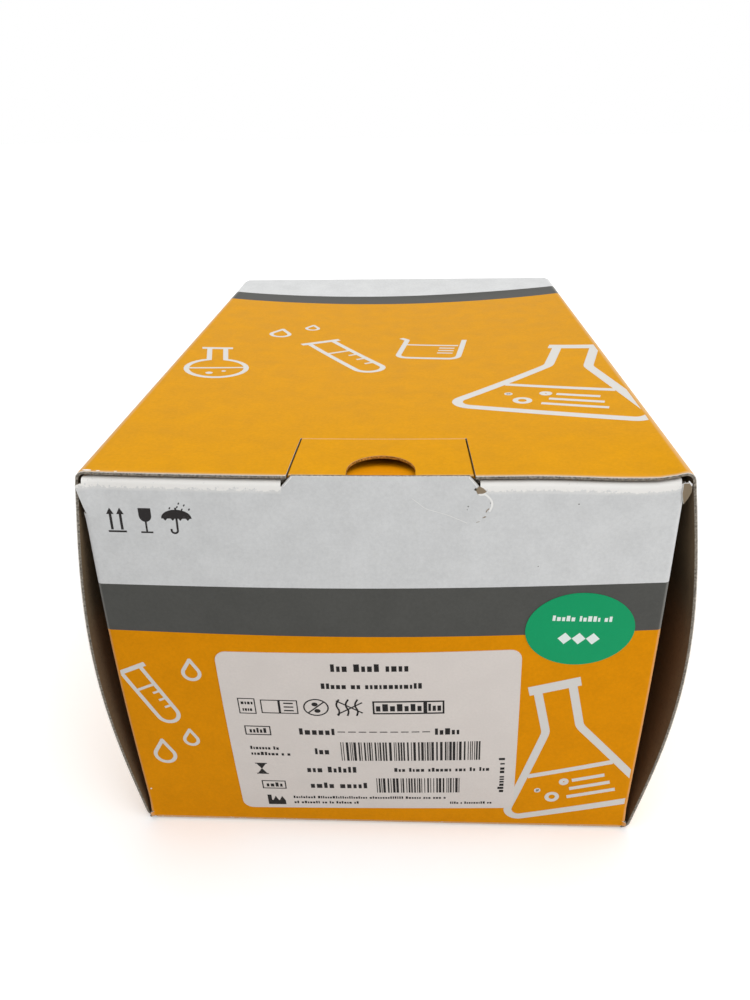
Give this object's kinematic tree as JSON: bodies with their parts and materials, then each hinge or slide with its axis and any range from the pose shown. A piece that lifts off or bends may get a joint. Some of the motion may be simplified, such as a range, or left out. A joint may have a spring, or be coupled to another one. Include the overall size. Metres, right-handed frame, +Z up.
{
  "type": "folding carton",
  "caption": "Closed folding carton of printed board with a front panel that hinges down, inward ears, a sloped tuck flap, a liftable thumb tab and a blank data label.",
  "frame": {"origin": "middle of the flat underside, half-way across the width and half-way along the depth", "axes": "+Z up from the underside, +Y from the closing panel at the front to the glued end at the back, +X to the right when the front is faced"},
  "size_m": [0.1578, 0.2168, 0.117],
  "materials": {
    "printed_board": "printed solid board with a grey back, satin varnish",
    "label_paper": "matt white label paper with grey print",
    "green_paper": "smooth green label paper"
  },
  "bodies": {
    "carton": {"carton_body": "printed_board"},
    "closure": {"front_closure": "printed_board", "info_label": "label_paper", "oval_sticker": "green_paper"},
    "tab": {"thumb_tab": "printed_board"}
  },
  "joints": [
    {"name": "closure_hinge", "type": "hinge", "parent": "carton", "child": "closure", "pos_m": [0, -0.1065, 0.0012], "axis": [1, 0, 0], "range_deg": [0, 86]},
    {"name": "tab_hinge", "type": "hinge", "parent": "carton", "child": "tab", "pos_m": [0, -0.0835, 0.1157], "axis": [-1, 0, 0], "range_deg": [0, 60]}
  ]
}
